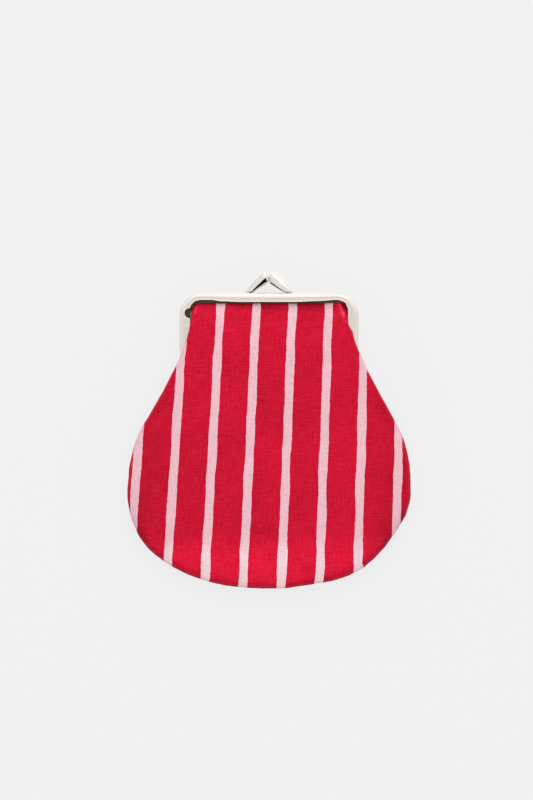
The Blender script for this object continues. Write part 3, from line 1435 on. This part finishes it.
def stud_profile():
    """The flat head and the shank of a claw's stud, as (distance along, radius)."""
    head, reach = STUD_HEAD_HEIGHT, STUD_HEAD_HEIGHT + SHEET + RIVET_PLAY + STUD_IN_CLAW
    profile = [(0.0, 0.0), (0.0, STUD_HEAD_RADIUS * 0.85), (0.1 * MM, STUD_HEAD_RADIUS)]
    profile += [(head - 0.05 * MM, STUD_HEAD_RADIUS), (head, STUD_HEAD_RADIUS * 0.95)]
    return profile + [(head, STUD_RADIUS), (reach, STUD_RADIUS), (reach, 0.0)]


def turned_piece(name, tree, profile, start, direction, look):
    """A rivet from (distance along, radius) pairs about a line."""
    section = [(radius - RIVET_CORE, distance, 0.0) for distance, radius in profile]
    turn = Vector((0.0, 0.0, -1.0)).rotation_difference(Vector(direction)).to_matrix().to_4x4()
    place = Matrix.Translation(Vector(start)) @ turn
    return grown(name, section, tree, look, RIVET_SHARP, place, Segments=RIVET_AROUND, Core=RIVET_CORE)


def paper_tree():
    """A hard-rolled paper cord: an oval section with a spiral groove, swept along its line."""
    sizes = {"Width": "Float", "Height": "Float", "Step": 0.35 * MM, "Lay": "Float", "Groove": "Float"}
    tree, given = shape_tree("rolled_cord", sizes)
    path = resampled(guide_curve(tree, given), "LENGTH", Length=given["Step"])
    path = stored(path, "run", put(tree, "GeometryNodeSplineParameter")["Length"])
    half = {0: given["Width"] * 0.5, 1: given["Height"] * 0.5, 2: 1.0}
    size = put(tree, "ShaderNodeCombineXYZ", half)[0]
    oval = put(tree, "GeometryNodeTransform", {"Geometry": ring(tree, 20, 1.0), "Scale": size})[0]
    oval = stored(oval, "round", put(tree, "GeometryNodeSplineParameter")["Factor"])
    turns = recalled(tree, "run") / given["Lay"] + recalled(tree, "round")
    spiral = (turns * (2 * math.pi)).math("SINE").math("ABSOLUTE").math("POWER", 3.0)
    inwards = spiral * given["Groove"] * half[1] * -1.0
    shift = scaled(put(tree, "GeometryNodeInputNormal")[0], inwards)
    solid = put(tree, "GeometryNodeSetPosition", {"Geometry": swept(path, oval, True), "Offset": shift})[0]
    return end_shape(solid, given)


def packing_cord(name, side, shows, tree, look, sizes):
    """The paper cord wedged in a channel in front of the cloth."""
    guide = []
    for place, inward, _, at, total in path_stations(LEG_END + EAR_NECK + GAP, False):
        centre = (looked_up(FACE_WIDTHS, at / total) + looked_up(shows, at / total)) * MM - CORD_WIDTH / 2
        x, y = place[0] + inward[0] * centre, place[1] + inward[1] * centre
        guide.append((x, y, MID_LEVEL + side * CORD_LEVEL))
    values = {"Width": CORD_WIDTH, "Height": CORD, "Lay": sizes.cord_lay, "Groove": 0.25}
    return grown(name, guide, tree, look, TRIM_SHARP, **values)


def stitch_tree():
    """Stitches set end to end along a line, each a short rounded bar of thread that thins at its ends."""
    sizes = {"Spacing": "Float", "Share": 0.82, "Thread": "Float", "Unevenness": 0.08, "Seed": "Int"}
    tree, given = shape_tree("seam_stitches", sizes)
    path = resampled(guide_curve(tree, given), "LENGTH", Length=given["Spacing"])
    tangent = put(tree, "GeometryNodeInputTangent")[0]
    facing = put(tree, "FunctionNodeAlignRotationToVector", {"Vector": tangent}, axis="X")[0]
    half = given["Spacing"] * given["Share"] * 0.5
    ends = [put(tree, "ShaderNodeCombineXYZ", {0: reach})[0] for reach in (half * -1.0, half)]
    bar = put(tree, "GeometryNodeCurvePrimitiveLine", {"Start": ends[0], "End": ends[1]})[0]
    bar = resampled(bar, "COUNT", Count=6)
    share = put(tree, "GeometryNodeSplineParameter")["Factor"]
    swell = (share * 2.5 + 0.32).math("SINE").math("POWER", 0.6)
    bar = put(tree, "GeometryNodeSetCurveRadius", {"Curve": bar, "Radius": swell})[0]
    stitch = swept(bar, ring(tree, 6, given["Thread"] * 0.5), True)
    limits = {"Min": (-1.0, -1.0, -1.0), "Max": (1.0, 1.0, 1.0), "Seed": given["Seed"]}
    wobble = put(tree, "FunctionNodeRandomValue", limits, data_type="FLOAT_VECTOR")[0]
    turn = {"Rotation": facing, "Rotate By": scaled(wobble, given["Unevenness"])}
    turned = put(tree, "FunctionNodeRotateRotation", turn, rotation_space="LOCAL")[0]
    inputs = {"Points": path, "Instance": stitch, "Rotation": turned}
    return end_shape(put(tree, "GeometryNodeInstanceOnPoints", inputs)[0], given)


def seam_line():
    """The bottom of the groove between the two sewn edges, from hinge to hinge."""
    half = []
    for y in steps(POUCH_TOP - 1.0 * MM, bottom_corner()[1], 60):
        inset = 0.0 if y <= SEAM_JOIN_Y else silhouette(y) - EDGE_INSET - seam_width(y)
        edge = silhouette(y) if y > WIDEST_Y else bottom_width(y, 0.0)
        half.append(Vector((edge - STITCH_INSET - max(inset - SEAM_ALLOWANCE, 0.0), y, 0.0)))
    corner_x = half[-1].x
    middle = [Vector((x, bottom_height(x, STITCH_INSET), 0.0)) for x in steps(corner_x, -corner_x, 90)[:-1]]
    left = [Vector((-p.x, p.y, 0.0)) for p in reversed(half)]
    places = []
    for point in half + middle + left:
        shifted = eased_out(point + outward(point) * edge_shift(point.x, point.y))
        places.append(shifted + Vector((0.0, 0.0, MID_LEVEL)))
    return places


# Settings


def length(name, description, millimetres):
    return FloatProperty(name=name, description=description, default=millimetres * MM, subtype="DISTANCE")


def colour(name, description, *value):
    settings = {"size": 4, "subtype": "COLOR", "min": 0.0, "max": 1.0}
    return FloatVectorProperty(name=name, description=description, default=(*value, 1.0), **settings)


class PurseSizes(bpy.types.PropertyGroup):
    """Sizes of the print, the cloth and the trim."""

    stripe_pitch: length("Stripe pitch", "From one stripe to the next", 16.4)
    stripe_width: length("Stripe width", "Width of a printed stripe", 3.8)
    stripe_wander: length("Stripe wander", "How far a stripe's edge wanders", 0.75)
    thread_pitch: length("Thread pitch", "From one thread of the weave to the next", 0.42)
    crease_height: length("Crease height", "Height of the soft creases", 0.42)
    pucker_height: length("Pucker height", "Height of the puckers along the seam", 0.45)
    stitch_spacing: length("Stitch spacing", "From one stitch to the next", 2.4)
    stitch_thread: length("Stitch thread", "Thickness of the seam's thread", 0.3)
    cord_lay: length("Cord lay", "Length of one turn of the rolled paper", 2.6)
    lint: FloatProperty(
        name="Lint",
        description="Share of pale fibre on the red cloth",
        default=0.1,
        min=0.0,
        max=1.0,
        subtype="FACTOR",
    )
    seed: IntProperty(name="Seed", description="Varies the stitches", default=7)


class PurseColours(bpy.types.PropertyGroup):
    """Colours of the cloth, metal, paper and stage."""

    red_deep: colour("Red, deep", "Darker tone of the red ground", 0.58, 0.0008, 0.021)
    red_bright: colour("Red, bright", "Lighter tone of the red ground", 0.68, 0.002, 0.028)
    pink_deep: colour("Pink, deep", "Darker tone of the stripes", 0.8, 0.47, 0.53)
    pink_bright: colour("Pink, bright", "Lighter tone of the stripes", 1.0, 0.76, 0.8)
    lint: colour("Lint", "Pale fibre on the cloth", 0.9, 0.12, 0.22)
    lining_deep: colour("Lining, deep", "Darker tone of the lining", 0.66, 0.6, 0.5)
    lining_bright: colour("Lining, bright", "Lighter tone of the lining", 0.78, 0.73, 0.64)
    nickel: colour("Nickel", "The frame's plating", 0.9, 0.84, 0.775)
    nickel_warm: colour("Nickel, warm", "The plating's warmer tone", 0.94, 0.87, 0.79)
    bright_nickel: colour("Nickel, bright", "The claws' whiter plating", 0.95, 0.92, 0.89)
    rivet: colour("Rivet", "The rivets' plating", 0.72, 0.68, 0.63)
    inside: colour("Inside of the claws", "Bare steel inside the claws", 0.03, 0.018, 0.014)
    paper: colour("Paper", "The rolled paper cord", 0.028, 0.024, 0.021)
    thread: colour("Thread", "The seam's thread", 0.5, 0.03, 0.06)
    floor: colour("Floor", "The floor", 0.7, 0.7, 0.7)


# Operators


def cut_area(slices=60):
    """The flat area of an outer panel's cut with its seam allowances, in square metres."""
    area, step = 0.0, (TOP_LIP + GRIP - BAG_BOTTOM) / slices
    for i in range(slices):
        y = BAG_BOTTOM + (i + 0.5) * step
        half = silhouette(y) if y < EAR_FOLD_Y else gripped_width(y, GRIP)
        if HINGE_Y <= y < EAR_FOLD_Y:
            half += silhouette(y) - LEG_LIP + GRIP + UNDER_LEVEL
        elif y < HINGE_Y:
            half += SEAM_ALLOWANCE + 2 * EDGE_RADIUS
        area += 2 * half * step
    return area


def fasten(piece, body, slot, *nodes):
    """Sets a finished piece in the frame: the body it rides on, its slot and the CAD nodes it stands for."""
    if nodes:
        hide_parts(*nodes)
    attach(piece, body)


def fasten_front(piece, slot, *nodes):
    """Sets a front cloth in the frame, which turns from one half to the other beside the hinges."""
    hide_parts(*nodes)
    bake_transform(piece)


class PURSE_OT_outer_cloth(bpy.types.Operator):
    """Sew the front and rear outer cloth."""

    bl_idname = "purse.outer_cloth"
    bl_label = "Outer cloth"

    def execute(self, context):
        look, sizes = material(striped_cotton), context.scene.purse_sizes
        front = outer_panel("front_cloth", 1.0, look, sizes)
        rear = outer_panel("rear_cloth", -1.0, look, sizes)
        fasten_front(front, "red_cloth", "front_panel_flap", "front_panel_fold", "front_panel_pouch")
        fasten(rear, "rear_half", "red_cloth", "rear_panel_flap", "rear_panel_pouch")
        for piece, hold in ((front, "stretched"), (rear, "laid")):
            cut_area()
        return {"FINISHED"}


class PURSE_OT_lining(bpy.types.Operator):
    """Sew the two linings."""

    bl_idname = "purse.lining"
    bl_label = "Lining"

    def execute(self, context):
        look, sizes = material(cotton_lining), context.scene.purse_sizes
        front = lining_panel("front_inner_cloth", 1.0, look, sizes)
        rear = lining_panel("rear_inner_cloth", -1.0, look, sizes)
        fasten_front(front, "lining_cloth", "front_lining_flap", "front_lining_fold", "front_lining_pouch")
        fasten(rear, "rear_half", "lining_cloth", "rear_lining")
        area = cut_area() * LINING_SHARE
        return {"FINISHED"}


class PURSE_OT_frame_halves(bpy.types.Operator):
    """Press the two halves of the frame."""

    bl_idname = "purse.frame_halves"
    bl_label = "Frame halves"

    def execute(self, context):
        for place, side in (("front", 1.0), ("rear", -1.0)):
            made = frame_half(f"{place}_channel", side, material(nickel_plate))
            fasten(made, f"{place}_half", "polished_steel", f"{place}_frame")
        return {"FINISHED"}


class PURSE_OT_claws(bpy.types.Operator):
    """Bend the two claws of the clasp."""

    bl_idname = "purse.claws"
    bl_label = "Claws"

    def execute(self, context):
        for place, side in (("front", 1.0), ("rear", -1.0)):
            made = claw(f"{place}_horn", side, material(claw_plate))
            fasten(made, f"{place}_half", "polished_steel", f"{place}_claw")
        return {"FINISHED"}


class PURSE_OT_rivets(bpy.types.Operator):
    """Turn the hinge rivets and the claws' studs."""

    bl_idname = "purse.rivets"
    bl_label = "Rivets"

    def execute(self, context):
        tree, look = turned_tree(), material(satin_plate)
        rivet_start = LEG_OUTSIDE + RIVET_PLAY + RIVET_HEAD_HEIGHT
        for hand, place in ((-1.0, "left"), (1.0, "right")):
            start = (hand * rivet_start, HINGE_Y, MID_LEVEL)
            made = turned_piece(f"{place}_rivet", tree, rivet_profile(), start, (-hand, 0.0, 0.0), look)
            fasten(made, "rear_half", "satin_steel", f"{place}_hinge_rivet")
        stud_start = FRAME_TOP - SHEET - RIVET_PLAY - STUD_HEAD_HEIGHT
        for place, side in (("front", 1.0), ("rear", -1.0)):
            start = (side * CLAW_REACH, stud_start, MID_LEVEL + side * (HALF_START + STUD_LEVEL))
            made = turned_piece(f"{place}_stud", tree, stud_profile(), start, (0.0, 1.0, 0.0), look)
            fasten(made, f"{place}_half", "satin_steel", f"{place}_claw_stud")
        return {"FINISHED"}


class PURSE_OT_packing_cords(bpy.types.Operator):
    """Wedge the paper cords in the channels."""

    bl_idname = "purse.packing_cords"
    bl_label = "Packing cords"

    def execute(self, context):
        tree, look = paper_tree(), material(rolled_paper)
        for place, side, shows in (("front", 1.0, CORD_SHOWS), ("rear", -1.0, REAR_CORD_SHOWS)):
            made = packing_cord(f"{place}_paper_cord", side, shows, tree, look, context.scene.purse_sizes)
            fasten(made, f"{place}_half", "black_paper", f"{place}_packing_cord")
        return {"FINISHED"}


class PURSE_OT_seam_thread(bpy.types.Operator):
    """Stitch the seam round the pouch."""

    bl_idname = "purse.seam_thread"
    bl_label = "Seam thread"

    def execute(self, context):
        sizes, look = context.scene.purse_sizes, material(sewing_thread)
        values = {"Spacing": sizes.stitch_spacing, "Thread": sizes.stitch_thread, "Seed": sizes.seed}
        made = grown("seam_thread", seam_line(), stitch_tree(), look, TRIM_SHARP, **values)
        fasten(made, "rear_half", "red_cloth")
        return {"FINISHED"}


class PURSE_OT_stage(bpy.types.Operator):
    """Lay the pale floor and set the light and the camera."""

    bl_idname = "purse.stage"
    bl_label = "Stage"

    def execute(self, context):
        scene = context.scene
        mesh = bpy.data.meshes.new("floor")
        corners = ((-1, -1), (1, -1), (1, 1), (-1, 1))
        points = [(x * FLOOR_REACH, y * FLOOR_REACH, FLOOR_LEVEL) for x, y in corners]
        mesh.from_pydata(points, [], [(0, 1, 2, 3)])
        mesh.materials.append(material(pale_floor))
        add_object("floor", mesh)
        set_world(scene)
        lamp_data = bpy.data.lights.new("soft_window", "AREA")
        lamp_data.shape = "RECTANGLE"
        lamp_data.size, lamp_data.size_y = LAMP_SIZE
        lamp_data.energy = LAMP_POWER
        lamp = add_object("soft_window", lamp_data)
        lamp.location = LAMP_AT
        lamp.rotation_euler = LAMP_AT.to_track_quat("Z", "Y").to_euler()
        lamp.visible_glossy = False
        camera_data = bpy.data.cameras.new("camera")
        camera_data.sensor_width = CAMERA_SENSOR
        camera_data.lens = CAMERA_LENS
        camera_data.clip_start, camera_data.clip_end = CAMERA_CLIP
        scene.camera = add_object("camera", camera_data)
        scene.camera.location = CAMERA_AT
        scene.view_settings.view_transform = "Standard"
        return {"FINISHED"}


def set_world(scene):
    """A plain studio dome, with a broad bright window beyond the clasp and greyer sides to left and right."""
    world = bpy.data.worlds.new("studio")
    world.use_nodes = True
    tree = world.node_tree
    way = put(tree, "ShaderNodeTexCoord")["Generated"].parts()
    dome = by_stops(way["Z"], (0.0, 0.74), (0.3, 0.8), (0.6, 0.88), (0.82, 0.86), (0.95, 0.77), (1.0, 0.74))
    window = by_stops(way["Y"], (0.0, 0.0), (0.05, 0.0), (0.18, 0.14), (0.4, 0.26), (0.9, 0.28), (1.0, 0.27))
    sides = way["X"] * way["X"] * -0.12 + 1.0
    narrowed = way["X"].eased(-0.65, -0.15, 0.25, 1.0) * way["X"].eased(0.4, 0.9, 1.0, 0.3)
    level = window * narrowed + dome * sides
    fill(tree, tree.nodes["Background"], {"Color": (1.0, 1.0, 1.0, 1.0), "Strength": level})
    scene.world = world


def by_stops(field, *stops):
    """A brightness from stops of (place, brightness), of which the first is at 0 and the last at 1."""
    colour_ramp = put(field.tree, "ShaderNodeValToRGB", {"Fac": field})["Color"]
    elements = colour_ramp.socket.node.color_ramp.elements
    for place, value in stops[1:-1]:
        elements.new(place)
    for element, (place, value) in zip(elements, stops):
        element.color = (value, value, value, 1.0)
    return colour_ramp


class PURSE_PT_panel(bpy.types.Panel):
    """Lists the purse's pieces and settings."""

    bl_label = "Coin purse"
    bl_idname = "PURSE_PT_panel"
    bl_space_type = "VIEW_3D"
    bl_region_type = "UI"
    bl_category = "Purse"

    def draw(self, context):
        for operator in OPERATORS:
            self.layout.operator(operator.bl_idname)
        for settings in (context.scene.purse_sizes, context.scene.purse_colours):
            for name in settings.__annotations__:
                self.layout.prop(settings, name)


OPERATORS = (
    PURSE_OT_stage,
    PURSE_OT_outer_cloth,
    PURSE_OT_lining,
    PURSE_OT_frame_halves,
    PURSE_OT_claws,
    PURSE_OT_rivets,
    PURSE_OT_packing_cords,
    PURSE_OT_seam_thread,
)
CLASSES = (PurseSizes, PurseColours, *OPERATORS, PURSE_PT_panel)


def register():
    for each in CLASSES:
        bpy.utils.register_class(each)
    bpy.types.Scene.purse_sizes = PointerProperty(type=PurseSizes)
    bpy.types.Scene.purse_colours = PointerProperty(type=PurseColours)


def unregister():
    del bpy.types.Scene.purse_colours
    del bpy.types.Scene.purse_sizes
    for each in reversed(CLASSES):
        bpy.utils.unregister_class(each)


def main():
    """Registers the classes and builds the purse."""
    register()
    bpy.ops.purse.stage()
    bpy.ops.purse.outer_cloth()
    bpy.ops.purse.lining()
    bpy.ops.purse.frame_halves()
    bpy.ops.purse.claws()
    bpy.ops.purse.rivets()
    bpy.ops.purse.packing_cords()
    bpy.ops.purse.seam_thread()


if __name__ == "__main__":
    main()
